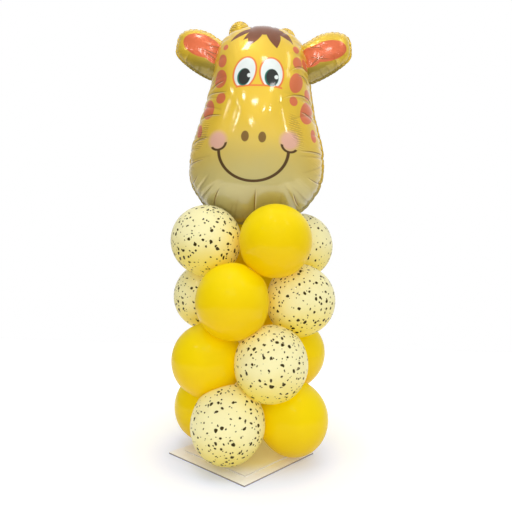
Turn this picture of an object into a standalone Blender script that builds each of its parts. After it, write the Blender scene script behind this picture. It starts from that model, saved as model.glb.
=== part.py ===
"""Balloon column: a foil giraffe head on a spiral of latex balloons, on a pole and two square boards.

Metres, +Z up. The origin is on the floor, at the middle of the lower board. The giraffe faces -Y.
An azimuth is counted from the front (-Y) towards the right (+X).
"""

import math

import bmesh
import bpy
from mathutils import Matrix, Vector

# Stand
LOWER_BOARD_SIDE = 0.400
LOWER_BOARD_THICKNESS = 0.005
UPPER_BOARD_SIDE = 0.316
UPPER_BOARD_THICKNESS = 0.005
BOARD_EDGE_RADIUS = 0.0008
BOARD_TURN = 42.5
POLE_DIAMETER = 0.020
POLE_HOLE_CLEARANCE = 0.0006
POLE_ABOVE_TOP_ROW = 0.036

# Latex balloons
BALLOON_DIAMETERS = {"yellow": 0.254, "speckled": 0.266}
RING_PRESS = 0.014
ROW_PRESS = 0.028
ROW_STRETCHES = (1.060, 1.040, 1.025, 1.000)
ROW_TWIST = 45.0
BOTTOM_YELLOW_AZIMUTH = -111.5
CLEARANCE_ABOVE_BOARD = 0.003
NECK_DIAMETER = 0.011
KNOT_DIAMETER = 0.016
KNOT_LENGTH = 0.009
NECK_LENGTH = 0.024
# How far round from its crown a balloon stays round before it runs into its neck
ROUND_PART_ANGLE = 142.0
SIDES = ("front", "right", "back", "left")
COLOURS = tuple(BALLOON_DIAMETERS)

# Foil head
HEAD_HEIGHT = 0.736
HEAD_WIDTH = 0.495
HEAD_DEPTH = 0.330
HEAD_TURN = -5.0
HEAD_LEAN = 1.2
CHIN_BELOW_BALLOON_TOPS = 0.065
SEAM_WIDTH = 0.006
SEAM_THICKNESS = 0.002
EAR_LENGTH = 0.182
EAR_DEPTH = 0.096
HORN_WIDTH = 0.058
HORN_HEIGHT = 0.084
HORN_DEPTH = 0.050
TAIL_DIAMETER = 0.018
TAIL_ROOT_DIAMETER = 0.040
TAIL_IN_HEAD = 0.055

# The gap left between two pieces that touch
CONTACT_GAP = 0.0003
# How far a cutter runs past what it cuts
CUTTER_OVERRUN = 0.02

# How finely round shapes are cut
BALLOON_SEGMENTS = 16
BALLOON_ARC_STEPS = 8
NECK_CURVE_STEPS = 2
HEAD_SEGMENTS = 36
HEAD_RINGS = 8
EAR_SEGMENTS = 18
EAR_RINGS = 5
HORN_SEGMENTS = 12
HORN_RINGS = 5
OUTLINE_STEPS = 4
POLE_SIDES = 16
SMOOTH_ANGLE = 35.0

# A foil balloon's section is a little fuller than an ellipse
FOIL_SECTION_POWER = 2.4

# The head's outline seen from the front: half width as a share of HEAD_WIDTH and height as a share of
# HEAD_HEIGHT, from the chin to the crown.
HEAD_OUTLINE = (
    (0.000, 0.000),
    (0.130, 0.006),
    (0.250, 0.027),
    (0.352, 0.074),
    (0.411, 0.115),
    (0.485, 0.197),
    (0.505, 0.279),
    (0.490, 0.391),
    (0.434, 0.523),
    (0.383, 0.656),
    (0.355, 0.753),
    (0.338, 0.841),
    (0.301, 0.916),
    (0.223, 0.965),
    (0.110, 0.993),
    (0.000, 1.000),
)
# The height at which the head is widest, as a share of HEAD_HEIGHT
HEAD_MIDDLE = 0.40
# The right ear's outline round its own middle, in shares of EAR_LENGTH, anticlockwise from the tip. Its
# root lies inside the head.
EAR_OUTLINE = (
    (0.500, 0.122),
    (0.430, 0.400),
    (0.206, 0.506),
    (-0.067, 0.472),
    (-0.283, 0.361),
    (-0.528, 0.139),
    (-0.500, -0.444),
    (-0.250, -0.506),
    (0.100, -0.322),
    (0.461, -0.050),
)
# The ears' middles: half the distance between them as a share of HEAD_WIDTH, height as a share of HEAD_HEIGHT
EAR_MIDDLE = (0.479, 0.862)
# The horns' middles, in the same shares. The left horn stands a little higher than the right one.
HORN_MIDDLES = {"left": (-0.192, 0.974), "right": (0.206, 0.933)}


def material(name, colour, roughness, metallic):
    """A plain Principled material."""
    made = bpy.data.materials.new(name)
    made.use_nodes = True
    made.diffuse_color = (*colour, 1.0)
    shader = made.node_tree.nodes["Principled BSDF"]
    shader.inputs["Base Color"].default_value = (*colour, 1.0)
    shader.inputs["Roughness"].default_value = roughness
    shader.inputs["Metallic"].default_value = metallic
    return made


def add_object(name, mesh, finish, parent=None, location=(0, 0, 0), turn=0.0):
    """Puts a mesh in the scene, turned by an angle in degrees about Z."""
    made = bpy.data.objects.new(name, mesh)
    bpy.context.scene.collection.objects.link(made)
    if finish and not mesh.materials:
        mesh.materials.append(finish)
    made.parent = parent
    made.location = location
    made.rotation_euler = (0, 0, math.radians(turn))
    return made


def add_empty(name, location, lean, turn):
    made = bpy.data.objects.new(name, None)
    bpy.context.scene.collection.objects.link(made)
    made.location = location
    made.rotation_euler = (0, math.radians(lean), math.radians(turn))
    return made


def mesh_from(bm, name):
    """Ends a bmesh as a smooth-shaded mesh whose faces point outwards."""
    bmesh.ops.recalc_face_normals(bm, faces=bm.faces)
    mesh = bpy.data.meshes.new(name)
    bm.to_mesh(mesh)
    bm.free()
    mesh.shade_smooth()
    mesh.set_sharp_from_angle(angle=math.radians(SMOOTH_ANGLE))
    return mesh


def hide_helper(helper):
    """Marks a cutter, or a shape that is joined into another, as no piece of its own."""
    helper.hide_render = True
    helper.display_type = "WIRE"


def add_boolean(target, helper, operation):
    modifier = target.modifiers.new(f"{operation.lower()}_{helper.name}", "BOOLEAN")
    modifier.operation = operation
    modifier.solver = "EXACT"
    modifier.object = helper
    hide_helper(helper)


def closed_curve(points, steps):
    """A smooth closed curve through the points, as a list with that many steps between each two of them."""
    count = len(points)
    curve = []
    for i in range(count):
        before, start, end, after = (Vector(points[(i + k) % count]) for k in (-1, 0, 1, 2))
        for step in range(steps):
            t = step / steps
            curve.append(
                0.5 * (2 * start + (end - before) * t + (2 * before - 5 * start + 4 * end - after) * t**2
                       + (3 * start - before - 3 * end + after) * t**3)
            )
    return curve


def reach(outline, angle):
    """How far a closed outline round (0, 0) reaches at an angle."""
    direction = Vector((math.cos(angle), math.sin(angle)))
    best = 0.0
    for a, b in zip(outline, outline[1:] + outline[:1]):
        side = b - a
        across = direction.cross(side)
        if abs(across) < 1e-12:
            continue
        along = a.cross(side) / across
        share = a.cross(direction) / across
        if along > 0 and -1e-6 <= share <= 1 + 1e-6:
            best = max(best, along)
    return best


def foil_lobe(name, outline, middle, half_depth, segments, rings):
    """A pillow of two foil sheets, welded round an outline in the XZ plane. The weld stands out as a thin edge.

    The outline is round its own middle. Ring 0 is the front pole, and ring `rings` is the weld's outer edge.
    """
    bm = bmesh.new()
    bmesh.ops.create_uvsphere(bm, u_segments=segments, v_segments=2 * rings, radius=1.0)
    bmesh.ops.rotate(bm, verts=bm.verts, cent=(0, 0, 0), matrix=Matrix.Rotation(math.pi / 2, 3, "X"))
    power = 2 / FOIL_SECTION_POWER
    for vert in bm.verts:
        angle = math.atan2(vert.co.z, vert.co.x)
        ring = round(2 * rings * math.acos(max(-1.0, min(1.0, -vert.co.y))) / math.pi)
        side = -1 if ring <= rings else 1
        ring = min(ring, 2 * rings - ring)
        edge = reach(outline, angle)
        if ring == rings:
            out, depth = edge + SEAM_WIDTH, 0.0
        else:
            turn = math.pi / 2 * ring / (rings - 1)
            out = edge * math.sin(turn) ** power
            depth = max(half_depth * max(math.cos(turn), 0.0) ** power, SEAM_THICKNESS / 2)
        vert.co = (middle[0] + out * math.cos(angle), side * depth, middle[1] + out * math.sin(angle))
    return mesh_from(bm, name)


def board(name, side, thickness, floor, finish):
    """A square board with eased edges, whose underside is at the height `floor`."""
    bm = bmesh.new()
    bmesh.ops.create_cube(bm, size=1.0)
    bmesh.ops.scale(bm, vec=(side, side, thickness), verts=bm.verts)
    bmesh.ops.translate(bm, vec=(0, 0, floor + thickness / 2), verts=bm.verts)
    made = add_object(name, mesh_from(bm, name), finish, turn=BOARD_TURN)
    bevel = made.modifiers.new("eased_edges", "BEVEL")
    bevel.width = BOARD_EDGE_RADIUS
    bevel.segments = 2
    return made


def rod(name, radius, low, high, sides, finish=None):
    """An upright round rod on the column's axis."""
    bm = bmesh.new()
    bmesh.ops.create_cone(
        bm, cap_ends=True, segments=sides, radius1=radius, radius2=radius, depth=high - low,
        matrix=Matrix.Translation((0, 0, (low + high) / 2)),
    )
    return add_object(name, mesh_from(bm, name), finish)


def balloon_profile(radius, ring_radius):
    """Half of a latex balloon's outline, from its crown to its knot at the pole, as (distance out, radius)."""
    pole_side = -(ring_radius - POLE_DIAMETER / 2 - CONTACT_GAP)
    knot_start = pole_side + KNOT_LENGTH
    neck_start = knot_start + NECK_LENGTH
    leave = math.radians(ROUND_PART_ANGLE)
    points = [
        (radius * math.cos(leave * i / BALLOON_ARC_STEPS), radius * math.sin(leave * i / BALLOON_ARC_STEPS))
        for i in range(BALLOON_ARC_STEPS + 1)
    ]
    start = Vector(points[-1])
    heading = Vector((-math.sin(leave), math.cos(leave)))
    end = Vector((neck_start, NECK_DIAMETER / 2))
    pull = (start - end).length * 0.4
    handles = (start, start + heading * pull, end + Vector((pull, 0)), end)
    for i in range(1, NECK_CURVE_STEPS + 1):
        t = i / NECK_CURVE_STEPS
        weights = ((1 - t) ** 3, 3 * (1 - t) ** 2 * t, 3 * (1 - t) * t**2, t**3)
        points.append(tuple(sum((h * w for h, w in zip(handles, weights)), Vector((0, 0)))))
    points.append((knot_start, NECK_DIAMETER / 2))
    points.append((knot_start - KNOT_LENGTH / 3, KNOT_DIAMETER / 2))
    points.append((pole_side, KNOT_DIAMETER / 2))
    points.append((pole_side, 0.0))
    return points


def spun_balloon(radius, ring_radius, stretch):
    """A whole latex balloon round its own middle, its crown towards +X and its knot towards the pole."""
    bm = bmesh.new()
    verts = [bm.verts.new((out, 0, r)) for out, r in balloon_profile(radius, ring_radius)]
    edges = [bm.edges.new(pair) for pair in zip(verts, verts[1:])]
    bmesh.ops.spin(
        bm, geom=verts + edges, cent=(0, 0, 0), axis=(1, 0, 0), angle=2 * math.pi,
        steps=BALLOON_SEGMENTS, use_merge=True,
    )
    bmesh.ops.remove_doubles(bm, verts=bm.verts, dist=CONTACT_GAP / 10)
    bmesh.ops.scale(bm, vec=(1, 1, stretch), verts=bm.verts)
    return bm


def flatten_against(bm, own_radius, neighbour, neighbour_radius):
    """Cuts the balloon flat where a neighbour, whose middle is given, presses on it."""
    distance = neighbour.length
    away = neighbour / distance
    contact = distance / 2 + (own_radius**2 - neighbour_radius**2) / (2 * distance)
    cut = bmesh.ops.bisect_plane(
        bm, geom=bm.verts[:] + bm.edges[:] + bm.faces[:], dist=CONTACT_GAP / 100,
        plane_co=away * (contact - CONTACT_GAP / 2), plane_no=away, clear_outer=True,
    )
    rim = [part for part in cut["geom_cut"] if isinstance(part, bmesh.types.BMEdge)]
    if rim:
        bmesh.ops.edgeloop_fill(bm, edges=rim)


def spot(azimuth, ring_radius, height):
    """The middle of a balloon."""
    turn = math.radians(azimuth)
    return Vector((ring_radius * math.sin(turn), -ring_radius * math.cos(turn), height))


def colour_at(k):
    """The colour of the balloon at place k in its row. Place 0 is on the yellow spiral."""
    return COLOURS[k % len(COLOURS)]


def balloon_mesh(row, place, radii, ring_radius, row_pitch):
    """A balloon at a place in a row, flattened against the others in its row and in the rows next to it."""
    radius = radii[colour_at(place)]
    bm = spun_balloon(radius, ring_radius, ROW_STRETCHES[row])
    axis = Vector((-ring_radius, 0, 0))
    for step in (-1, 0, 1):
        if not 0 <= row + step < len(ROW_STRETCHES):
            continue
        for k in range(len(SIDES)):
            turn = math.radians(step * ROW_TWIST + k * 360 / len(SIDES))
            if step == 0 and k == 0:
                continue
            out = Vector((ring_radius * math.cos(turn), ring_radius * math.sin(turn), step * row_pitch))
            flatten_against(bm, radius, axis + out, radii[colour_at(place + k)])
    return bm


def latex_balloons(radii, ring_radius, row_pitch, bottom_height, finishes):
    """Every latex balloon, from the floor up. Each row turns further, so that the colours climb in spirals."""
    for row in range(len(ROW_STRETCHES)):
        for place in range(len(SIDES)):
            azimuth = BOTTOM_YELLOW_AZIMUTH + row * ROW_TWIST + place * 360 / len(SIDES)
            side = SIDES[round(azimuth * len(SIDES) / 360) % len(SIDES)]
            name = f"{colour_at(place)}_balloon_row_{row + 1}_{side}"
            add_object(
                name, mesh_from(balloon_mesh(row, place, radii, ring_radius, row_pitch), name),
                finishes[colour_at(place)],
                location=spot(azimuth, ring_radius, bottom_height + row * row_pitch), turn=azimuth - 90,
            )


def head_dents(head, radii, ring_radius, height):
    """Where the chin rests on the top row, the foil gives way to the balloons."""
    top_row = len(ROW_STRETCHES) - 1
    facet_loss = math.cos(math.pi / BALLOON_SEGMENTS) ** 2
    for place in range(len(SIDES)):
        azimuth = BOTTOM_YELLOW_AZIMUTH + top_row * ROW_TWIST + place * 360 / len(SIDES)
        bm = bmesh.new()
        bmesh.ops.create_uvsphere(
            bm, u_segments=BALLOON_SEGMENTS, v_segments=BALLOON_SEGMENTS // 2,
            radius=(radii[colour_at(place)] + CONTACT_GAP) / facet_loss,
        )
        bmesh.ops.scale(bm, vec=(1, 1, ROW_STRETCHES[top_row]), verts=bm.verts)
        cutter = add_object(
            f"dent_{place}", mesh_from(bm, "dent"), None, location=spot(azimuth, ring_radius, height)
        )
        add_boolean(head, cutter, "DIFFERENCE")


def head_outline():
    """The head's whole outline round its own middle, in metres."""
    right = [(x * HEAD_WIDTH, (z - HEAD_MIDDLE) * HEAD_HEIGHT) for x, z in HEAD_OUTLINE]
    left = [(-x, z) for x, z in reversed(right[1:-1])]
    return closed_curve(right + left, OUTLINE_STEPS)


def foil_head(chin_height, pole_top, finish):
    """The giraffe's head: one foil balloon with its ears, its horns and the tail that is tied to the pole."""
    place = add_empty("head_place", (0, 0, chin_height), HEAD_LEAN, HEAD_TURN)
    middle = (0.0, HEAD_MIDDLE * HEAD_HEIGHT)
    head = add_object(
        "giraffe_head_foil_balloon",
        foil_lobe("head", head_outline(), middle, HEAD_DEPTH / 2, HEAD_SEGMENTS, HEAD_RINGS),
        finish, parent=place,
    )
    for word, sign in (("left", -1), ("right", 1)):
        points = [(sign * x * EAR_LENGTH, z * EAR_LENGTH) for x, z in EAR_OUTLINE]
        ear_middle = (sign * EAR_MIDDLE[0] * HEAD_WIDTH, EAR_MIDDLE[1] * HEAD_HEIGHT)
        ear = add_object(
            f"{word}_ear",
            foil_lobe(
                "ear", closed_curve(points, OUTLINE_STEPS), ear_middle, EAR_DEPTH / 2, EAR_SEGMENTS, EAR_RINGS
            ),
            None, parent=place,
        )
        add_boolean(head, ear, "UNION")
    for word, (x, z) in HORN_MIDDLES.items():
        oval = [
            Vector((HORN_WIDTH / 2 * math.cos(a), HORN_HEIGHT / 2 * math.sin(a)))
            for a in (2 * math.pi * i / HORN_SEGMENTS for i in range(HORN_SEGMENTS))
        ]
        horn = add_object(
            f"{word}_horn",
            foil_lobe("horn", oval, (x * HEAD_WIDTH, z * HEAD_HEIGHT), HORN_DEPTH / 2, HORN_SEGMENTS, HORN_RINGS),
            None, parent=place,
        )
        add_boolean(head, horn, "UNION")
    tail_bottom = pole_top + CONTACT_GAP
    tail_top = chin_height + TAIL_IN_HEAD
    bm = bmesh.new()
    bmesh.ops.create_cone(
        bm, cap_ends=True, segments=POLE_SIDES // 2, radius1=TAIL_DIAMETER / 2, radius2=TAIL_ROOT_DIAMETER / 2,
        depth=tail_top - tail_bottom, matrix=Matrix.Translation((0, 0, (tail_top + tail_bottom) / 2)),
    )
    tail = add_object("tail", mesh_from(bm, "tail"), None)
    add_boolean(head, tail, "UNION")
    return head


def main():
    for old in list(bpy.data.objects):
        bpy.data.objects.remove(old, do_unlink=True)

    radii = {colour: diameter / 2 for colour, diameter in BALLOON_DIAMETERS.items()}
    pair_span = sum(radii.values())
    ring_radius = pair_span * (1 - RING_PRESS) / 2 / math.sin(math.pi / len(SIDES))
    quarter = 360 / len(SIDES)
    nearest_turn = min(ROW_TWIST % quarter, quarter - ROW_TWIST % quarter)
    sideways = 2 * ring_radius * math.sin(math.radians(nearest_turn) / 2)
    row_pitch = math.sqrt((pair_span * (1 - ROW_PRESS)) ** 2 - sideways**2)
    boards_top = LOWER_BOARD_THICKNESS + CONTACT_GAP + UPPER_BOARD_THICKNESS
    largest = max(radii.values())
    bottom_height = boards_top + CLEARANCE_ABOVE_BOARD + largest * ROW_STRETCHES[0]
    top_height = bottom_height + (len(ROW_STRETCHES) - 1) * row_pitch
    pole_top = top_height + POLE_ABOVE_TOP_ROW
    chin_height = top_height + largest * ROW_STRETCHES[-1] - CHIN_BELOW_BALLOON_TOPS

    board_finish = material("white_board", (0.86, 0.84, 0.78), 0.45, 0.0)
    pole_finish = material("pole_plastic", (0.80, 0.80, 0.78), 0.4, 0.0)
    foil_finish = material("printed_foil", (0.90, 0.64, 0.07), 0.25, 0.35)
    latex_finishes = {
        "yellow": material("yellow_latex", (0.95, 0.68, 0.0), 0.4, 0.0),
        "speckled": material("speckled_latex", (0.86, 0.79, 0.44), 0.4, 0.0),
    }

    board("base_board_lower", LOWER_BOARD_SIDE, LOWER_BOARD_THICKNESS, 0.0, board_finish)
    upper = board(
        "base_board_upper", UPPER_BOARD_SIDE, UPPER_BOARD_THICKNESS, LOWER_BOARD_THICKNESS + CONTACT_GAP, board_finish
    )
    pole_radius = POLE_DIAMETER / 2
    hole = rod(
        "pole_hole", pole_radius + POLE_HOLE_CLEARANCE, -CUTTER_OVERRUN, boards_top + CUTTER_OVERRUN, POLE_SIDES
    )
    add_boolean(upper, hole, "DIFFERENCE")
    rod("centre_pole", pole_radius, LOWER_BOARD_THICKNESS + CONTACT_GAP, pole_top, POLE_SIDES, pole_finish)
    latex_balloons(radii, ring_radius, row_pitch, bottom_height, latex_finishes)
    head = foil_head(chin_height, pole_top, foil_finish)
    head_dents(head, radii, ring_radius, top_height)


main()
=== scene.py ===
"""Dresses the balloon column: printed foil giraffe head, latex balloons, boards and pole."""

import math
import random

import bmesh
import bpy
import numpy as np
from bpy.props import FloatProperty, FloatVectorProperty, PointerProperty
from bpy.types import Operator, Panel, PropertyGroup
from mathutils import Euler, Matrix, Vector


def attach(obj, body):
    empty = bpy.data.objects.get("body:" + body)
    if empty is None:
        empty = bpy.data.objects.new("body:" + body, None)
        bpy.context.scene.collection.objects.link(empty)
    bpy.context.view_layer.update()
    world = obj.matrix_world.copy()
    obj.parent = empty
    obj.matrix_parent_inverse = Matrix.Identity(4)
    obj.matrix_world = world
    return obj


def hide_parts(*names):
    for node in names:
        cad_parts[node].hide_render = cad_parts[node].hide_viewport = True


bl_info = {
    "name": "Balloon column",
    "version": (1, 0, 0),
    "blender": (4, 5, 0),
    "location": "3D View > Sidebar > Balloon column",
    "description": "Dresses a balloon column with its latex balloons and its printed foil giraffe head",
    "category": "Add Mesh",
}

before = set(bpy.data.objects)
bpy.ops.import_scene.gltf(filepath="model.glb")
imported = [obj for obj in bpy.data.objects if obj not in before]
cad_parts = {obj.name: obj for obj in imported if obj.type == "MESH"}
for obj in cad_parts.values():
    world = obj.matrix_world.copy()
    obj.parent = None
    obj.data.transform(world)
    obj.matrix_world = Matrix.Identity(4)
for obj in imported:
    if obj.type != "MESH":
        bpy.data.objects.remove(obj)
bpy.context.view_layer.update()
BODY = "root"
HEAD_NODE = "giraffe_head_foil_balloon"

# The latex column

SIDES = ("front", "right", "back", "left")
COLOURS = ("yellow", "speckled")
ROW_STRETCHES = (1.060, 1.040, 1.025, 1.000)
# Each row as it was blown up and tied, bottom first, in shares of the model's sizes
ROW_TUNES = (
    {"yellow": 0.990, "speckled": 0.950, "ring": 0.975},
    {"yellow": 1.004, "speckled": 0.940, "ring": 0.985},
    {"yellow": 0.995, "speckled": 0.945, "ring": 1.005},
    {"yellow": 0.985, "speckled": 0.960, "ring": 1.005},
)
BACK_TUNE = 1.0
# How far single balloons sit off their place in the ring
NUDGES = {
    (0, "front"): (-0.005, 0.0, -0.001), (0, "back"): (0.0, 0.0, -0.006), (0, "left"): (0.004, 0.0, -0.004),
    (0, "right"): (0.0, 0.0, -0.004), (1, "front"): (0.006, 0.0, 0.0), (1, "left"): (0.010, 0.0, -0.010),
    (2, "front"): (0.003, 0.0, 0.0), (2, "right"): (0.009, 0.0, 0.003), (2, "left"): (-0.006, 0.0, 0.0),
    (3, "front"): (0.007, 0.0, 0.003), (3, "right"): (0.016, 0.0, -0.008),
}
# How far round from its crown a balloon stays round before it runs into its neck
ROUND_PART_ANGLE = math.radians(142)
ARC_STEPS = 44
NECK_STEPS = 9
NECK_PULL = 0.4
NECK_OVER_KNOT = 0.002
MOUTH_TO_NECK = 0.6
# The knot's roll: its half sizes, where it starts and how far it turns
KNOT_ROLL = (0.0042, 0.0035)
KNOT_START = math.radians(20)
KNOT_TURN = math.radians(160)
KNOT_STEPS = 8
BALLOON_SEGMENTS = 80
POLE_GAP = 0.0003
CONTACT_GAP = 0.0001
# Where the skin swells: from what share of the radius, and how squarely it has to face a neighbour
SKIN_SPAN = (0.55, 0.35)
SWELL_SPAN = (0.6, 0.4)
# The specks' two sizes: spacing, least and largest radius, and softness of the edge
SPECKS = ((0.0190, 0.0035, 0.0070, 0.0006), (0.0168, 0.0025, 0.0040, 0.0005))
SPECK_BEND = 0.015
CENTRE = (0.5, 0.5, 0.5)
NOISE_SPAN = (0.3, 0.7)

# The foil head

# The head's outline from the front: half width as a share of its width, height as a share of its height
HEAD_OUTLINE = (
    (0.000, 0.000), (0.130, 0.006), (0.250, 0.027), (0.352, 0.074), (0.411, 0.115), (0.485, 0.197),
    (0.505, 0.279), (0.490, 0.391), (0.434, 0.523), (0.383, 0.656), (0.355, 0.753), (0.338, 0.841),
    (0.301, 0.916), (0.223, 0.965), (0.110, 0.993), (0.000, 1.000),
)
HEAD_MIDDLE = 0.40
# Where the right temple swells, above the head's middle
TEMPLE = 0.35
TEMPLE_REACH = 0.075
CURVE_STEPS = 12
# The right ear's outline round its own middle, in shares of its length
EAR_OUTLINE = (
    (0.492, 0.130), (0.430, 0.395), (0.206, 0.506), (-0.067, 0.472), (-0.283, 0.361), (-0.528, 0.139),
    (-0.500, -0.444), (-0.250, -0.506), (0.100, -0.322), (0.438, -0.060),
)
EAR_MIDDLE = (0.479, 0.862)
EAR_SHIFTS = {"left": (0.004, 0.001), "right": (0.004, -0.006)}
HORN_MIDDLES = {"left": (-0.174, 0.974), "right": (0.174, 0.940)}
FOIL_SECTION_POWER = 2 / 2.4
# The foil lobes: points round and across, spacing, length and depth of their creases, and the weld's wave
LOBES = {
    "head": (576, 80, (1.0, 0.140, 0.0085), 0.0014),
    "ear": (256, 48, (0.72, 0.045, 0.0045), 0.0012),
    "horn": (128, 24, (0.50, 0.032, 0.0080), 0.0008),
}
HORN_STEPS = 96
WALK_STEPS = 2000
# How unevenly creases are drawn
CREASE_LEAN = (-0.25, 0.25)
CREASE_LENGTH = (0.35, 1.0)
CREASE_DEPTH = (0.5, 1.0)
CREASE_WIDTH = (0.7, 1.1)
CREASE_SPACING = (0.65, 1.35)
CREASE_TO_SPACING = 0.28
CREASE_OVERRUN = 0.25
FOLD_DEPTH = 0.0045
FOLD_SPREAD = 0.0055
FOLD_WIDTH = 0.0024
DEEP_FOLD = 0.007
WELD_RINGS = 3
SPLIT = 4
# The outer shares of a lobe where creases fade, puckers show, the weld is pulled in and its waves start
CREASE_FADE = 0.03
PUCKER_SPAN = (0.40, 0.95)
PULL_SPAN = (0.9, 0.1)
WELD_PULL = 0.55
FACE_PULL = 0.3
WAVE_SPAN = (0.93, 0.07)
# Waves along a weld: how many, how strong and where they start
WELD_WAVES = ((31, 1.0, 0.0), (53, 0.6, 1.0))
CHIN_GAP = 0.0008
CHIN_SOFTNESS = 0.0015
# Colours of the painted shade and the painted highlight at folds, creases and ripples
FOLD_SHADE = (0.23, 0.105, 0.016)
FOLD_HIGHLIGHT = (0.98, 0.84, 0.42)
# The tail: points round and along it, its pleats' strengths and counts, its tie's depth, place and reach
TAIL_POINTS = (72, 24)
TAIL_PLEATS = ((0.07, 9), (0.03, 17))
TAIL_TIE = (0.25, 0.12, 0.05)
TAIL_SLACK = 0.10

# The print, in metres on the flat foil round a lobe's middle. An oval is its place, half sizes and lean

PRINT_BLUR = 0.0009
LEVEL_BLUR = 0.001
# Where the front sheet's print takes over from the back one's, between 1 behind and -1 in front
FRONT = (0.4, -0.4)
# Where the coat runs into the muzzle, how that line bows and clouds, and where the chin's shade lies
MUZZLE = (0.075, -0.140)
MUZZLE_BOW = 1.6
MUZZLE_CLOUD = 0.04
CHIN = (-0.095, -0.190)
CHIN_DARK = 0.72
COAT_SPOTS = (
    ((-0.096, 0.265), (0.008, 0.011), 0.2),
    ((-0.102, 0.220), (0.014, 0.023), 0.3),
    ((-0.104, 0.165), (0.021, 0.028), 0.3),
    ((-0.097, 0.106), (0.015, 0.016), 0.3),
    ((-0.139, 0.082), (0.022, 0.031), 0.2),
    ((-0.166, 0.021), (0.013, 0.020), 0.1),
    ((0.109, 0.265), (0.010, 0.013), -0.2),
    ((0.143, 0.236), (0.014, 0.020), -0.2),
    ((0.114, 0.221), (0.014, 0.020), -0.3),
    ((0.112, 0.158), (0.019, 0.032), -0.3),
    ((0.106, 0.103), (0.012, 0.014), -0.1),
    ((0.152, 0.142), (0.012, 0.018), -0.2),
    ((0.151, 0.082), (0.023, 0.038), -0.3),
    ((0.173, 0.016), (0.011, 0.020), 0.1),
)
EYES = (((-0.0315, 0.1745), (0.0280, 0.0445), -0.20), ((0.0420, 0.1730), (0.0295, 0.0440), 0.12))
PUPILS = (((-0.0335, 0.1605), (0.0180, 0.0255), -0.12), ((0.0425, 0.1595), (0.0190, 0.0255), 0.08))
PUPIL_SHIFT = (0.0018, 0.0012)
PUPIL_SHARE = (0.88, 0.92)
GLINTS = ((-0.0190, 0.1650), (0.0555, 0.1615))
GLINT_SIZE = (0.0055, 0.0060)
EYE_LINE = 0.0050
# The bridge of the nose under the eyes, how far its line runs, and how softly it cuts the eyes off
NOSE_BRIDGE = ((0.0095, 0.0990), (0.130, 0.0375))
BRIDGE_REACH = 0.063
BRIDGE_FOOT = (0.110, 0.112)
BRIDGE_CUT = (0.985, 1.015)
NOSTRILS = ((-0.0212, -0.0028), (0.0253, -0.0042))
NOSTRIL_SIZE = (0.0105, 0.0145)
SMILE = ((0.0025, -0.0400), (0.0950, 0.0812))
SMILE_LINE = 0.0074
# The marks at the ends of the smile: place and lean
CHEEKS = (((-0.0945, -0.0215), 0.30), ((0.1000, -0.0225), -0.30))
CHEEK_MARK = (0.0215, 0.0180)
CHEEK_LINE = 0.8
CHEEK_TOP = -0.0045
BLUSH = ((-0.0970, -0.0140), (0.0990, -0.0100))
BLUSH_SIZE = (0.030, 0.030)
BLUSH_FADE = (1.15, 0.55, 0.0, 0.85)
# The fringe's locks: root, tip, half width and bow
FRINGE = (
    ((0.004, 0.365), (-0.025, 0.260), 0.020, 0.000),
    ((0.020, 0.365), (0.053, 0.253), 0.020, 0.004),
    ((0.000, 0.355), (-0.045, 0.283), 0.010, 0.003),
    ((0.010, 0.348), (-0.084, 0.283), 0.011, -0.010),
    ((0.020, 0.348), (0.090, 0.292), 0.012, 0.008),
    ((0.030, 0.352), (0.100, 0.280), 0.008, 0.012),
)
FRINGE_CROWN = ((0.013, 0.385), (0.050, 0.080))
# The head's folds, each sunk into the foil and drawn with a painted shade line and a painted highlight line:
# from the weld to their end, half width and bow
FOLDS = (
    ((-0.136, 0.150), (-0.091, 0.155), 0.0014, 0.002),
    ((-0.150, 0.138), (-0.081, 0.122), 0.0013, -0.002),
    ((-0.165, 0.063), (-0.091, 0.057), 0.0013, 0.003),
    ((-0.190, -0.012), (-0.127, -0.002), 0.0013, 0.002),
    ((-0.210, -0.080), (-0.141, -0.065), 0.0013, 0.002),
    ((-0.215, -0.150), (-0.164, -0.111), 0.0014, -0.003),
    ((-0.118, -0.205), (-0.092, -0.146), 0.0014, 0.003),
    ((0.009, -0.215), (0.012, -0.143), 0.0014, 0.000),
    ((0.148, -0.200), (0.120, -0.152), 0.0014, 0.003),
    ((0.243, -0.135), (0.160, -0.106), 0.0014, 0.003),
    ((0.246, -0.037), (0.131, -0.034), 0.0015, -0.004),
    ((0.183, 0.070), (0.129, 0.078), 0.0014, -0.003),
    ((0.205, 0.127), (0.083, 0.110), 0.0016, -0.012),
    ((0.185, 0.215), (0.097, 0.194), 0.0018, -0.014),
    ((0.160, 0.190), (0.118, 0.184), 0.0014, -0.004),
)
# Fine ripples on both cheeks, drawn as painted shade lines over a bump
RIPPLES = (((0.116, 0.022), (0.024, 0.066), 0.34), ((-0.150, 0.000), (0.021, 0.056), -0.40))
RIPPLE_SPACING = 0.0062
RIPPLE_FADE = (1.0, 0.35)
RIPPLE_SHADE = 0.46
RIPPLE_RELIEF = -1.3
# How strongly a fold's painted shade line and painted highlight line show, how far apart they lie in half
# widths, and how they taper
SHADE_LINE = 0.80
HIGHLIGHT_LINE = 0.35
EAR_SHADE_LINE = 0.70
LIGHT_ASIDE = 2.2
LIGHT_BREADTH = 0.6
LINE_TAPER = (1.5, 0.5)
# Where the ear's yellow runs into its shade
EAR_YELLOW = (0.005, -0.050)
# The red inside of each ear, two ovals
INNER_EARS = {
    "left": (((0.012, 0.015), (0.060, 0.035), -0.32), ((0.056, -0.008), (0.036, 0.031), -0.30)),
    "right": (((0.002, 0.007), (0.059, 0.030), 0.24), ((-0.046, -0.010), (0.036, 0.030), 0.20)),
}
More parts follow.
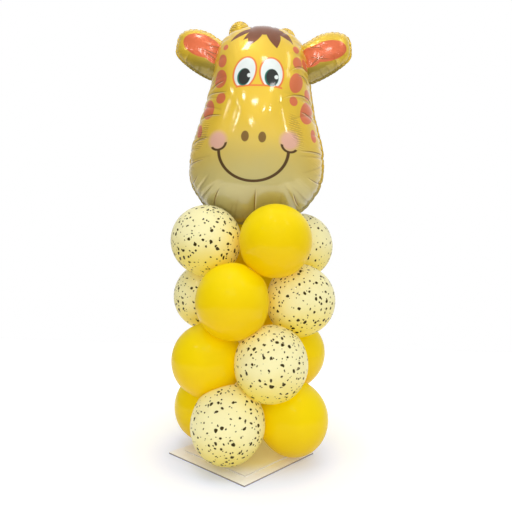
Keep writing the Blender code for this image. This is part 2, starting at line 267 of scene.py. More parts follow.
# Folds at the root of each ear, drawn as painted shade lines over a bump: from the root to their end, half
# width and bow
EAR_FOLDS = {
    "left": (
        ((0.066, 0.012), (0.027, 0.018), 0.0015, 0.003),
        ((0.064, -0.010), (0.014, 0.005), 0.0015, 0.003),
        ((0.060, -0.032), (0.024, -0.009), 0.0015, -0.002),
    ),
    "right": (
        ((-0.050, 0.016), (-0.010, 0.013), 0.0015, 0.003),
        ((-0.050, -0.009), (0.014, -0.016), 0.0015, -0.003),
        ((-0.046, -0.040), (-0.002, -0.004), 0.0015, 0.003),
    ),
}

# The boards

BOARD_SEGMENTS = 64
BOARD_EDGE = 0.0007
BOARD_CORNER = math.radians(45)
HOLE_CLEARANCE = 0.0008
DULL_BOARD = (0.97, 0.96, 0.93)
# How far from its middle a board gets its painted light, as if lit through the balloons
BOARD_LIT = (0.215, 0.120)

# The studio

FLOOR_REACH = 2.2
# The floor near the base is painted shade: darker and bluer, the blue cancelling the balloons' yellow light
FLOOR_SHADE = (0.74, 0.79, 1.0)
FLOOR_WHITE = (0.93, 0.93, 0.93)
FLOOR_EDGE = (0.26, 0.42)
FLOOR_GLOW = (0.3, 1.4, 0.20, 0.45)
# The room's light across, in depth and up: from where, to where, and its strength there
ROOM_ACROSS = (-0.9, -0.1, 0.42, 1.0)
ROOM_DEPTH = (-0.3, 0.7, 0.34, 0.80)
ROOM_HEIGHT = (-0.1, 1.0, 0.0, 0.26)
# Lamps: name, place, what it lights, size, watts, and whether the foil mirrors it
LAMPS = (
    ("ceiling", (-0.2, -0.5, 3.4), (0, 0, 0), (2.2, 1.8), 25, False),
    ("front_box", (0.2, -3.6, 1.6), (0, 0, 0.8), (3.0, 2.4), 32, False),
    ("left_strip", (-2.1, -2.0, 2.56), (0, 0, 1.25), (0.40, 0.13), 3.2, True),
    ("right_strip", (1.3, -2.6, 2.4), (0, 0, 1.25), (0.20, 0.10), 1.2, True),
    ("right_top_strip", (1.20, -1.25, 2.9), (0.1, 0, 1.45), (0.34, 1.0), 3.4, True),
    ("left_top", (-0.40, -0.76, 2.9), (0, 0, 1.5), (0.16, 0.34), 2.6, True),
    ("brow_light", (-0.10, -1.45, 2.9), (0, 0, 1.4), (0.16, 0.16), 1.1, True),
    ("eye_light", (0.26, -2.98, 3.0), (0, 0, 1.3), (0.40, 0.24), 4.0, True),
)
# Round ceiling lights, across and forward of the pole
DOWNLIGHTS = (
    (-1.1, -3.4), (-0.7, -3.9), (-0.25, -4.7), (0.6, -5.0), (-2.5, -3.8), (-1.2, -5.8), (-2.4, -4.5),
)
DOWNLIGHT_HEIGHT = 3.0
DOWNLIGHT_AIM = (0, 0, 1.2)
DOWNLIGHT_SIZE = (0.18, 0.18)


def a_number(name, default, description, **kind):
    """A setting of one number, or of several when its default has several."""
    kind.update(name=name, default=default, description=description)
    if isinstance(default, tuple):
        return FloatVectorProperty(size=len(default), **kind)
    return FloatProperty(**kind)


def a_length(*about):
    return a_number(*about, unit="LENGTH")


def an_angle(*about):
    return a_number(*about, subtype="ANGLE")


def a_colour(*about):
    return a_number(*about, subtype="COLOR")


class ColumnSizes(PropertyGroup):
    """Sizes of the latex column and its boards."""

    yellow_diameter: a_length("Yellow balloons", 0.254, "Diameter of a yellow balloon")
    speckled_diameter: a_length("Speckled balloons", 0.266, "Diameter of a speckled balloon")
    ring_press: a_number("Ring press", 0.014, "How far the balloons of a row press into each other")
    row_press: a_number("Row press", 0.028, "How far two rows press into each other")
    row_twist: an_angle("Row twist", math.radians(45), "Turn from one row to the next")
    start_azimuth: an_angle(
        "Start", math.radians(-111.5), "Azimuth of the lowest yellow balloon, from the front to the right"
    )
    lower_board: a_length("Lower board", 0.380, "Side of the lower board")
    upper_board: a_length("Upper board", 0.302, "Side of the upper board")
    board_thickness: a_length("Board thickness", 0.005, "Thickness of a board")
    board_turn: an_angle("Board turn", math.radians(48.5), "Turn of the boards about the pole")
    lower_board_middle: a_length("Lower board's middle", (-0.020, -0.020), "Where that board's middle lies")
    upper_board_middle: a_length("Upper board's middle", (-0.016, -0.012), "Where that board's middle lies")
    boards_top: a_length("Boards", 0.0103, "Height of the upper board's top")
    board_clearance: a_length("Clearance", 0.003, "Gap from the upper board to the lowest balloons")
    pole_diameter: a_length("Pole", 0.020, "Diameter of the pole")
    pole_above_top_row: a_length("Pole end", 0.036, "How far the pole ends above the top row's middle")
    neck_diameter: a_length("Neck", 0.011, "Diameter of a balloon's neck")
    knot_diameter: a_length("Knot", 0.016, "Diameter of a balloon's knot")
    knot_length: a_length("Knot length", 0.009, "Length of a balloon's knot")
    neck_length: a_length("Neck length", 0.024, "Length of a balloon's neck")
    contact_softness: a_length(
        "Contact softness", 0.0022, "How gently a balloon flattens where another presses on it"
    )
    bulge: a_length("Bulge", 0.0068, "How far a pressed balloon swells towards its neighbours")
    # The glow reach sets how far the latex's painted glow spreads
    glow_reach: a_length("Glow reach", 0.034, "How far the light that comes through a neighbour spreads")


class HeadSizes(PropertyGroup):
    """Sizes of the foil head."""

    height: a_length("Height", 0.736, "Chin to crown")
    width: a_length("Width", 0.495, "Width at the cheeks")
    depth: a_length("Depth", 0.330, "Front to back")
    turn: an_angle("Turn", math.radians(-5.0), "Turn about the pole")
    lean: an_angle("Lean", math.radians(1.2), "Lean to the right")
    chin_drop: a_length("Chin drop", 0.065, "How far the chin dips below the top row's tops")
    seam_width: a_length("Weld", 0.006, "Width of the welded edge")
    seam_thickness: a_length("Weld thickness", 0.0012, "Thickness of the welded edge")
    ear_length: a_length("Ear length", 0.182, "Length of an ear")
    ear_depth: a_length("Ear depth", 0.096, "Front to back of an ear")
    horn_width: a_length("Horn width", 0.070, "Width of a horn")
    horn_height: a_length("Horn height", 0.084, "Height of a horn")
    horn_depth: a_length("Horn depth", 0.050, "Front to back of a horn")
    tail_diameter: a_length("Tail", 0.018, "Diameter of the tail at the pole")
    tail_root_diameter: a_length("Tail root", 0.040, "Diameter of the tail in the head")
    tail_in_head: a_length("Tail in head", 0.055, "How far the tail runs into the head")
    temple_swell: a_length("Temple swell", 0.010, "How far the right temple swells")
    pucker_spacing: a_length("Pucker spacing", 0.024, "Mean distance between puckers along the weld")


class ColumnColours(PropertyGroup):
    """The column's colours, as linear values."""

    # The deep latex colours below are painted shade on the balloons' undersides
    yellow_latex: a_colour("Yellow latex", (0.835, 0.635, 0.0), "Upper side of the yellow balloons")
    yellow_painted_shade: a_colour("Deep yellow", (0.715, 0.458, 0.0), "Underside of the yellow balloons")
    cream_latex: a_colour("Cream latex", (0.83, 0.77, 0.42), "Upper side of the speckled balloons")
    cream_painted_shade: a_colour("Deep cream", (0.71, 0.575, 0.12), "Underside of the speckled balloons")
    # The cream glow is painted light from a near neighbour
    cream_glow: a_colour("Cream glow", (0.77, 0.595, 0.028), "Cream latex beside a yellow balloon")
    speck: a_colour("Specks", (0.042, 0.029, 0.005), "Colour of the specks")
    foil_yellow: a_colour("Foil yellow", (0.81, 0.535, 0.028), "Printed yellow of the head")
    foil_chin: a_colour("Foil chin", (0.60, 0.515, 0.20), "Silvery beige of the muzzle")
    spots: a_colour("Spots", (0.72, 0.17, 0.055), "Colour of the coat's spots")
    inner_ear: a_colour("Inner ear", (0.76, 0.15, 0.045), "Colour inside the ears")
    ear_shade: a_colour("Ear shade", (0.33, 0.24, 0.018), "Yellow of the ears' lower edge")
    fringe: a_colour("Fringe", (0.19, 0.050, 0.010), "Brown of the fringe")
    blush: a_colour("Blush", (0.78, 0.42, 0.36), "Pink of the cheeks")
    eye_line: a_colour("Eye line", (0.80, 0.20, 0.03), "Line round the eyes")
    eye_white: a_colour("Eye white", (0.76, 0.81, 0.78), "White of the eyes")
    iris: a_colour("Iris", (0.0, 0.15, 0.10), "Dark teal at the edge of the pupils")
    pupil: a_colour("Pupil", (0.008, 0.010, 0.007), "Near black of the pupils")
    nostril: a_colour("Nostrils", (0.22, 0.115, 0.015), "Brown of the nostrils")
    smile: a_colour("Smile", (0.090, 0.042, 0.004), "Brown line of the smile")
    board: a_colour("Boards", (0.95, 0.935, 0.92), "White of the boards")
    # The board glow is painted light, as if lit through the balloons
    board_glow: a_colour("Board glow", (0.80, 0.71, 0.24), "Board that is lit through the balloons")
    # The grey of the boards' sides is partly the cut edges' own and partly painted shade
    cut_edge: a_colour("Cut edges", (0.24, 0.21, 0.17), "Grey of the lower board's cut edges")
    upper_cut_edge: a_colour("Upper cut edges", (0.66, 0.62, 0.53), "Grey of the upper board's cut edges")


class StageSettings(PropertyGroup):
    """Camera and light."""

    camera_distance: a_length("Camera distance", 1.859, "From the camera to the pole")
    camera_height: a_length("Camera height", 0.729, "Height of the camera")
    camera_aside: a_length("Camera aside", 0.0139, "How far the camera stands to the right")
    camera_roll: an_angle("Camera roll", 0.0267, "Roll of the camera")
    camera_rise: an_angle("Camera rise", 0.004, "How far the camera looks up")
    lens: a_number("Lens", 34.73, "Focal length in millimetres")
    downlight_power: a_number("Downlights", 2.2, "Power of a ceiling light in watts")


class Nodes:
    """Writes the nodes of one material, or of another owner of nodes."""

    def __init__(self, name, owner=None):
        self.owner = owner or bpy.data.materials.new(name)
        self.owner.use_nodes = True
        self.tree = self.owner.node_tree

    def add(self, kind, inputs=None, **settings):
        """A node with its settings, and its inputs linked or set."""
        node = self.tree.nodes.new(kind)
        for name, value in settings.items():
            setattr(node, name, value)
        for key, value in (inputs or {}).items():
            self.feed(node.inputs[key], value)
        return node

    def feed(self, socket, value):
        if isinstance(value, bpy.types.NodeSocket):
            self.tree.links.new(value, socket)
        elif socket.type == "RGBA":
            socket.default_value = (*value[:3], 1.0)
        else:
            socket.default_value = value

    def math(self, operation, *values, clamp=False):
        inputs = dict(enumerate(values))
        return self.add("ShaderNodeMath", inputs, operation=operation, use_clamp=clamp).outputs[0]

    def plus(self, a, b):
        return self.math("ADD", a, b)

    def times(self, a, b):
        return self.math("MULTIPLY", a, b)

    def most(self, values):
        """The largest of several values."""
        total = values[0]
        for value in values[1:]:
            total = self.math("MAXIMUM", total, value)
        return total

    def vector(self, operation, *values, **named):
        inputs = {**dict(enumerate(values)), **named}
        node = self.add("ShaderNodeVectorMath", inputs, operation=operation)
        return node.outputs["Value" if operation == "LENGTH" else "Vector"]

    def split(self, vector):
        """A vector's three parts."""
        return self.add("ShaderNodeSeparateXYZ", {0: vector}).outputs

    def kept(self, name, output="Fac"):
        """What the mesh keeps for each point under this name."""
        return self.add("ShaderNodeAttribute", attribute_name=name).outputs[output]

    def facing(self, kind="Normal"):
        """How far the surface faces up, from -1 to 1."""
        return self.split(self.add("ShaderNodeNewGeometry").outputs[kind])["Z"]

    def object_place(self):
        return self.add("ShaderNodeTexCoord").outputs["Object"]

    def step(self, value, low, high, start=0.0, end=1.0, shape="SMOOTHSTEP"):
        """A step of a value from `low` to `high`, smooth unless its shape says otherwise."""
        inputs = {"Value": value, "From Min": low, "From Max": high, "To Min": start, "To Max": end}
        return self.add("ShaderNodeMapRange", inputs, interpolation_type=shape).outputs["Result"]

    def under(self, value, level):
        """1 where a value lies under a printed level and 0 over it."""
        return self.step(value, level + LEVEL_BLUR, level - LEVEL_BLUR)

    def uneven(self, noise, low=0.0, high=1.0):
        """A noise that runs between two values."""
        return self.step(noise, *NOISE_SPAN, low, high)

    def mix(self, factor, a, b):
        return self.add("ShaderNodeMix", {"Factor": factor, 6: a, 7: b}, data_type="RGBA").outputs[2]

    def place(self, vector, location, turn, size):
        """A pattern's own coordinates, where it is centred, turned in its plane and sized."""
        inputs = {"Vector": vector, "Location": location, "Rotation": (0, 0, turn), "Scale": size}
        return self.add("ShaderNodeMapping", inputs, vector_type="TEXTURE").outputs[0]

    def oval(self, vector, centre, radii, turn=0.0):
        """0 at the middle of an oval and 1 on its edge. The vector's third value is left out."""
        return self.vector("LENGTH", self.place(vector, (*centre, 0.0), turn, (*radii, 1e4)))

    def disc(self, vector, centre, radii, turn=0.0):
        """1 inside a printed oval and 0 outside it."""
        soft = PRINT_BLUR / min(radii)
        return self.step(self.oval(vector, centre, radii, turn), 1 + soft, 1 - soft)

    def stroke(self, vector, centre, radii, width, turn=0.0):
        """1 on the line of an oval drawn with a pen of this width."""
        off = self.math("ABSOLUTE", self.math("SUBTRACT", self.oval(vector, centre, radii, turn), 1.0))
        half, blur = width / 2 / min(radii), PRINT_BLUR / min(radii)
        return self.step(off, half + blur, half - blur)

    def bowed(self, vector, start, end, half_width, bend):
        """How far a point lies left of a bowed line, in half widths, and its place along it squared."""
        start, end = Vector(start), Vector(end)
        middle, run = (start + end) / 2, end - start
        size = (run.length / 2, half_width, 1.0)
        placed = self.place(vector, (*middle, 0.0), math.atan2(run.y, run.x), size)
        along, aside, _ = self.split(placed)
        square = self.times(along, along)
        bow = self.math("MULTIPLY_ADD", square, bend / half_width, -bend / half_width)
        return self.plus(aside, bow), square

    def leaf(self, vector, start, end, half_width, bend):
        """1 inside a pointed lock that runs from `start` to `end` and bows to its left by `bend`."""
        aside, square = self.bowed(vector, start, end, half_width, bend)
        soft = PRINT_BLUR / half_width
        return self.step(self.plus(self.math("ABSOLUTE", aside), square), 1 + soft, 1 - soft)

    def fold(self, vector, start, end, half_width, bend):
        """A fold's painted shade line, and the painted highlight line along its upper side."""
        aside, square = self.bowed(vector, start, end, half_width, bend)
        beside = self.plus(aside, LIGHT_ASIDE if end[0] > start[0] else -LIGHT_ASIDE)
        beside = self.times(beside, LIGHT_BREADTH)
        tapers = (self.plus(self.math("ABSOLUTE", offset), square) for offset in (aside, beside))
        return [self.step(taper, *LINE_TAPER) for taper in tapers]

    def folds(self, vector, lines):
        """The painted shade lines of several folds, and their painted highlight lines."""
        dark, light = zip(*(self.fold(vector, *line) for line in lines))
        return self.most(dark), self.most(light)

    def noise(self, vector, scale, detail=2.0, roughness=0.5, output="Fac"):
        inputs = {"Vector": vector, "Scale": scale, "Detail": detail, "Roughness": roughness}
        return self.add("ShaderNodeTexNoise", inputs).outputs[output]

    def bump(self, height, distance, strength, normal=None):
        inputs = {"Height": height, "Distance": distance, "Strength": strength}
        if normal is not None:
            inputs["Normal"] = normal
        return self.add("ShaderNodeBump", inputs).outputs[0]

    def finish(self, **values):
        """Sets the shader's inputs and hands over the material."""
        shader = self.tree.nodes["Principled BSDF"]
        for name, value in values.items():
            self.feed(shader.inputs[name.replace("_", " ").title().replace("Ior", "IOR")], value)
        return self.owner


def column(context):
    """The column's settings."""
    return context.scene.balloon_column


def layout(sizes):
    """The radii and heights that every piece takes its place from."""
    radii = {"yellow": sizes.yellow_diameter / 2, "speckled": sizes.speckled_diameter / 2}
    span = sum(radii.values())
    ring = span * (1 - sizes.ring_press) / 2 / math.sin(math.pi / len(SIDES))
    sideways = 2 * ring * math.sin(sizes.row_twist / 2)
    pitch = math.sqrt((span * (1 - sizes.row_press)) ** 2 - sideways**2)
    bottom = sizes.boards_top + sizes.board_clearance + radii["speckled"] * ROW_STRETCHES[0]
    return radii, ring, pitch, bottom


def balloon_spot(sizes, row, place):
    """The side and the model's middle of a balloon."""
    _, ring, pitch, bottom = layout(sizes)
    azimuth = sizes.start_azimuth + row * sizes.row_twist + place * math.tau / len(SIDES)
    side = SIDES[round(azimuth / math.tau * len(SIDES)) % len(SIDES)]
    return side, Vector((ring * math.sin(azimuth), -ring * math.cos(azimuth), bottom + row * pitch))


def tied_balloon(sizes, row, place):
    """The middle and the radius of a balloon as it was blown up and tied."""
    side, spot = balloon_spot(sizes, row, place)
    tune = ROW_TUNES[row]
    colour = COLOURS[place % 2]
    spot = spot * Vector((tune["ring"], tune["ring"], 1)) + Vector(NUDGES.get((row, side), (0, 0, 0)))
    size = BACK_TUNE if side == "back" else tune[colour]
    return spot, layout(sizes)[0][colour] * size


def add_piece(mesh, name, finish, slot, *nodes):
    """Puts a finished mesh in the scene as a piece of the column."""
    mesh.name = name
    piece = bpy.data.objects.new(name, mesh)
    bpy.context.scene.collection.objects.link(piece)
    mesh.materials.append(finish)
    mesh.shade_smooth()
    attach(piece, BODY)
    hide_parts(*nodes)
    return piece


def points_of(mesh):
    points = np.zeros(len(mesh.vertices) * 3, np.float64)
    mesh.vertices.foreach_get("co", points)
    return points.reshape(-1, 3)


def move_points(mesh, points):
    mesh.vertices.foreach_set("co", np.ascontiguousarray(points, np.float32).ravel())
    mesh.update()


def keep(mesh, name, values):
    """Keeps a number, or three of them, for each point of the mesh, for its material to read."""
    values = np.ascontiguousarray(values, np.float32)
    kind, field = ("FLOAT", "value") if values.ndim == 1 else ("FLOAT_VECTOR", "vector")
    mesh.attributes.new(name, kind, "POINT").data.foreach_set(field, values.ravel())


def ramp(values, start, span):
    """0 up to a start, 1 past the span that follows it, and evenly between."""
    return np.clip((values - start) / span, 0, 1)


def mesh_of(bm, name):
    bmesh.ops.recalc_face_normals(bm, faces=bm.faces)
    mesh = bpy.data.meshes.new(name)
    bm.to_mesh(mesh)
    bm.free()
    return mesh


# Latex balloons


def bezier(start, first, second, end, count):
    """Points on a curve, without its start."""
    points, curve = (start, first, second, end), []
    for i in range(1, count + 1):
        t = i / count
        weights = ((1 - t) ** 3, 3 * (1 - t) ** 2 * t, 3 * (1 - t) * t**2, t**3)
        curve.append(sum((point * weight for point, weight in zip(points, weights)), Vector((0, 0))))
    return curve


def balloon_profile(radius, ring, sizes):
    """Half of a balloon's outline from crown to knot, as (distance out, radius)."""
    pole_side = -(ring - sizes.pole_diameter / 2 - POLE_GAP)
    knot_start = pole_side + sizes.knot_length
    neck_start = knot_start + sizes.neck_length
    neck_radius = sizes.neck_diameter / 2
    points = [
        Vector((radius * math.cos(a), radius * math.sin(a)))
        for a in (ROUND_PART_ANGLE * i / ARC_STEPS for i in range(ARC_STEPS + 1))
    ]
    start, end = points[-1], Vector((neck_start, neck_radius))
    heading = Vector((-math.sin(ROUND_PART_ANGLE), math.cos(ROUND_PART_ANGLE)))
    pull = (start - end).length * NECK_PULL
    points += bezier(start, start + heading * pull, end + Vector((pull, 0)), end, NECK_STEPS)
    points.append(Vector((knot_start + NECK_OVER_KNOT, neck_radius)))
    knot_middle = Vector((knot_start - sizes.knot_length / 2, sizes.knot_diameter / 2 - KNOT_ROLL[1]))
    for i in range(KNOT_STEPS + 1):
        turn = KNOT_START + KNOT_TURN * i / KNOT_STEPS
        points.append(knot_middle + Vector((KNOT_ROLL[0] * math.cos(turn), KNOT_ROLL[1] * math.sin(turn))))
    points.append(Vector((pole_side, neck_radius * MOUTH_TO_NECK)))
    points.append(Vector((pole_side, 0.0)))
    return points


def soften(beyond, softness):
    """Holds back whatever goes beyond a plane, gently near it and wholly past it."""
    return -softness * np.logaddexp(0.0, -beyond / softness)


def balloon_mesh(row, place, sizes):
    """One latex balloon in its place, bulging towards its neighbours and pressed flat by them.

    Keeps how near each point is to another balloon, 1 where they touch.
    """
    spot, radius = tied_balloon(sizes, row, place)
    ring = math.hypot(spot.x, spot.y)
    bm = bmesh.new()
    verts = [bm.verts.new((out, 0, r)) for out, r in balloon_profile(radius, ring, sizes)]
    edges = [bm.edges.new(pair) for pair in zip(verts, verts[1:])]
    bmesh.ops.spin(
        bm, geom=verts + edges, cent=(0, 0, 0), axis=(1, 0, 0), angle=math.tau,
        steps=BALLOON_SEGMENTS, use_merge=True,
    )
    bmesh.ops.remove_doubles(bm, verts=bm.verts, dist=1e-5)
    bmesh.ops.scale(bm, vec=(1, 1, ROW_STRETCHES[row]), verts=bm.verts)
    bmesh.ops.rotate(bm, verts=bm.verts, matrix=Matrix.Rotation(math.atan2(spot.y, spot.x), 3, "Z"))
    mesh = mesh_of(bm, "balloon")
    points = points_of(mesh)
    length = np.linalg.norm(points, axis=1)
    heading = points / np.maximum(length, 1e-9)[:, None]
    skin = ramp(length / radius, *SKIN_SPAN)
    neighbours, near = [], np.zeros(len(points))
    for other_row in (row - 1, row, row + 1):
        for k in range(len(SIDES)):
            if 0 <= other_row < len(ROW_STRETCHES) and (other_row, k) != (row, place):
                other_spot, other_radius = tied_balloon(sizes, other_row, k)
                offset = np.array(other_spot - spot)
                distance = np.linalg.norm(offset)
                gap = np.linalg.norm(points - offset, axis=1) - other_radius
                near = np.maximum(near, np.exp(-np.maximum(gap, 0) / sizes.glow_reach))
                if distance < radius + other_radius + sizes.bulge:
                    contact = distance / 2 + (radius**2 - other_radius**2) / (2 * distance) - CONTACT_GAP
                    neighbours.append((offset / distance, contact))
    for away, _ in neighbours:
        facing = ramp(heading @ away, *SWELL_SPAN)
        points += heading * (sizes.bulge * skin * facing**2)[:, None]
    for away, contact in neighbours:
        beyond = points @ away - contact
        shift = np.where(skin > 0, soften(beyond, sizes.contact_softness) - beyond, 0.0)
        points += shift[:, None] * away
    move_points(mesh, points + np.array(spot))
    keep(mesh, "near", near)
    return mesh


def skin_tone(n, deep, light, low=-0.95, high=0.95):
    """Latex colour, deeper on the underside as painted shade, and a little cloudy."""
    cloud = n.math("MULTIPLY_ADD", n.noise(n.object_place(), 9.0), 0.4, -0.2)
    return n.mix(n.step(n.plus(n.facing(), cloud), low, high), deep, light)


def latex(n, colour):
    """Satin latex: a faint gloss for small lamps, and a painted glow, emission that stands in for light
    through the skin, stronger by a neighbour.
    """
    at = n.object_place()
    return n.finish(
        base_color=colour, roughness=n.uneven(n.noise(at, 14.0, 3.0), 0.46, 0.56), ior=1.12,
        coat_weight=0.45, coat_roughness=0.05, coat_ior=1.30,
        normal=n.bump(n.noise(at, 900.0), 0.00005, 0.3), emission_color=colour,
        # Painted glow: emission in the latex's own colour, stronger near a neighbour
        emission_strength=n.math("MULTIPLY_ADD", n.kept("near"), 0.20, 0.09),
    )


def yellow_latex(colours):
    """Yellow latex."""
    n = Nodes("yellow_latex")
    return latex(n, skin_tone(n, colours.yellow_painted_shade, colours.yellow_latex))


def speckled_latex(colours):
    """Cream latex with printed dark specks of uneven size and shape, yellower where a neighbour is near, most
    on the underside: painted light from the neighbours.
    """
    n = Nodes("speckled_latex")
    at = n.object_place()
    # Painted light: the cream turns yellower where a neighbour is near
    glow = n.times(n.kept("near"), n.step(n.facing(), 0.9, 0.0, 0.75, 1.0))
    ground = skin_tone(n, colours.cream_painted_shade, colours.cream_latex, -0.80, 0.25)
    ground = n.mix(glow, ground, colours.cream_glow)
    wobble = n.vector("SUBTRACT", n.noise(at, 45.0, 1.0, output="Color"), CENTRE)
    bent = n.vector("ADD", at, n.vector("SCALE", wobble, Scale=SPECK_BEND))
    inks = []
    for spacing, least, most, edge in SPECKS:
        cells = n.add("ShaderNodeTexVoronoi", {"Vector": bent, "Scale": 1 / spacing, "Randomness": 0.85})
        away = n.times(cells.outputs["Distance"], spacing)
        pick = n.add("ShaderNodeSeparateColor", {0: cells.outputs["Color"]}).outputs[0]
        reach = n.math("MULTIPLY_ADD", n.math("POWER", pick, 1.5), most - least, least)
        inks.append(n.math("DIVIDE", n.math("SUBTRACT", reach, away), edge, clamp=True))
    return latex(n, n.mix(n.most(inks), ground, colours.speck))


# Foil


def closed_curve(points, steps):
    """A smooth closed curve through the points, as an array."""
    points = np.array(points, float)
    before, start = np.roll(points, 1, axis=0), points
    end, after = np.roll(points, -1, axis=0), np.roll(points, -2, axis=0)
    curve = []
    for t in np.arange(steps) / steps:
        curve.append(
            0.5 * (2 * start + (end - before) * t + (2 * before - 5 * start + 4 * end - after) * t**2
                   + (3 * start - before - 3 * end + after) * t**3)
        )
    return np.stack(curve, axis=1).reshape(-1, 2)


def reach_at(outline, angles):
    """How far an outline round (0, 0) reaches at each angle."""
    around = np.arctan2(outline[:, 1], outline[:, 0])
    order = np.argsort(around)
    return np.interp(angles, around[order], np.hypot(*outline.T)[order], period=math.tau)


def weld_creases(outline, spacing, longest, deepest, seed):
    """Creases all along a weld, square to it, of uneven length and spacing: start, end, depth and width."""
    draw = random.Random(seed)
    around = np.vstack([outline, outline[:1]])
    lengths = np.concatenate([[0], np.cumsum(np.hypot(*np.diff(around, axis=0).T))])
    creases, at = [], 0.0
    while at < lengths[-1] - spacing * 0.5:
        x = np.interp((at, at + 1e-3), lengths, around[:, 0])
        z = np.interp((at, at + 1e-3), lengths, around[:, 1])
        inward = Vector((x[0] - x[1], z[0] - z[1])).orthogonal().normalized()
        if inward.dot(Vector((x[0], z[0]))) > 0:
            inward.negate()
        inward.rotate(Matrix.Rotation(draw.uniform(*CREASE_LEAN), 2))
        length = longest * draw.uniform(*CREASE_LENGTH) ** 1.5
        depth = deepest * draw.uniform(*CREASE_DEPTH)
        width = draw.uniform(*CREASE_WIDTH) * spacing * CREASE_TO_SPACING
        creases.append(((x[0], z[0]), (x[0] + inward.x * length, z[0] + inward.y * length), depth, width))
        at += spacing * draw.uniform(*CREASE_SPACING)
    return creases


def creased(flat, creases):
    """How far the foil sinks at each point of the flat print, and how sharply it is folded there."""
    total, folded = np.zeros(len(flat)), np.zeros(len(flat))
    for start, end, depth, width in creases:
        along = np.array(end) - np.array(start)
        length = np.hypot(*along)
        along = along / length
        offset = flat - np.array(start)
        run = offset @ along / length
        aside = np.abs(offset[:, 0] * along[1] - offset[:, 1] * along[0])
        taper = np.clip(1 - run, 0, 1) * ramp(run, -CREASE_OVERRUN, CREASE_OVERRUN)
        inside = (run > -CREASE_OVERRUN) & (run < 1)
        total += np.where(inside, depth * taper**0.8 * np.exp(-aside / width), 0.0)
        sharp = taper**0.5 * np.exp(-((aside / FOLD_WIDTH) ** 2)) * min(depth / DEEP_FOLD, 1.0)
        folded = np.maximum(folded, np.where(inside, sharp, 0.0))
    return total, folded


def foil_lobe(kind, outline, middle, depth, head, seed, folds=()):
    """Two printed foil sheets welded round an outline and blown up, with puckers and a wavy weld.

    Keeps each point's place on the flat print, round the lobe's middle, with -1 in front and 1 behind,
    how near it is to the weld, 1 where the weld starts and 2 at its rim, and how sharply it is folded.
    """
    segments, rings, (spacing, longest, deepest), ripple = LOBES[kind]
    creases = weld_creases(outline, head.pucker_spacing * spacing, longest, deepest, seed)
    creases += [(start, end, FOLD_DEPTH, FOLD_SPREAD) for start, end, _, _ in folds]
    bm = bmesh.new()
    bmesh.ops.create_uvsphere(bm, u_segments=segments // SPLIT, v_segments=2 * rings // SPLIT, radius=1.0)
    bmesh.ops.subdivide_edges(bm, edges=bm.edges, cuts=SPLIT - 1, use_grid_fill=True)
    bmesh.ops.rotate(bm, verts=bm.verts, cent=(0, 0, 0), matrix=Matrix.Rotation(math.pi / 2, 3, "X"))
    mesh = mesh_of(bm, "foil")
    unit = points_of(mesh)
    angle = np.arctan2(unit[:, 2], unit[:, 0])
    ring = np.rint(2 * rings * np.arctan2(np.hypot(unit[:, 0], unit[:, 2]), -unit[:, 1]) / math.pi)
    side = np.where(ring <= rings, -1.0, 1.0)
    ring = np.minimum(ring, 2 * rings - ring)
    inner = rings - WELD_RINGS
    edge, half_depth = reach_at(outline, angle), depth / 2

    # An even walk along the pillow's section, from its middle to the weld
    turns = np.linspace(0, math.pi / 2, WALK_STEPS)
    walk_out = edge.mean() * np.sin(turns) ** FOIL_SECTION_POWER
    walk_depth = half_depth * np.cos(turns) ** FOIL_SECTION_POWER
    walked = np.concatenate([[0], np.cumsum(np.hypot(np.diff(walk_out), np.diff(walk_depth)))])
    share = ramp(ring, 0, inner)
    turn = np.interp(share * walked[-1], walked, turns)
    weld = ramp(ring, inner, WELD_RINGS)
    out = edge * np.sin(turn) ** FOIL_SECTION_POWER
    thin = head.seam_thickness / 2
    depth = np.maximum(half_depth * np.cos(turn) ** FOIL_SECTION_POWER, thin) * np.where(weld >= 1, 0.0, 1.0)
    direction = np.stack([np.cos(angle), np.sin(angle)], axis=1)
    flat = direction * (edge * share)[:, None]
    points = np.stack([direction[:, 0] * out, side * depth, direction[:, 1] * out], axis=1)
    move_points(mesh, points)

    # Puckers sink the foil along its own normal and pull the weld in between them
    normals = np.zeros(len(points) * 3)
    mesh.vertices.foreach_get("normal", normals)
    normals = normals.reshape(-1, 3)
    bow = head.seam_width * weld
    sink, folded = creased(flat + direction * bow[:, None], creases)
    points -= normals * (sink * ramp(1 - share, 0, CREASE_FADE) * (1 - weld > 0.999))[:, None]
    pull = sink * ramp(share, *PULL_SPAN) * np.where(weld > 0, WELD_PULL, FACE_PULL)
    radial = np.stack([direction[:, 0], np.zeros(len(points)), direction[:, 1]], axis=1)
    points += radial * (bow - pull)[:, None]
    wave = sum(strength * np.sin(angle * count + start) for count, strength, start in WELD_WAVES)
    points[:, 1] += ripple * wave * (weld + 0.5 * ramp(share, *WAVE_SPAN))
    points[:, 0] += middle[0]
    points[:, 2] += middle[1]
    move_points(mesh, points)
    keep(mesh, "print", np.column_stack([flat, side]))
    keep(mesh, "weld", share + weld)
    keep(mesh, "fold", folded)
    return mesh


def head_frame(context):
    """The head's chin height and its turn and lean."""
    sizes, head = column(context).sizes, column(context).head
    radii, _, pitch, bottom = layout(sizes)
    top_row = len(ROW_STRETCHES) - 1
    chin = bottom + top_row * pitch + radii["speckled"] * ROW_STRETCHES[top_row] - head.chin_drop
    return chin, Euler((0, head.lean, head.turn))


def to_world(context, points):
    """Head coordinates made world ones."""
    chin, turn = head_frame(context)
    return points @ np.array(turn.to_matrix()).T + np.array((0, 0, chin))


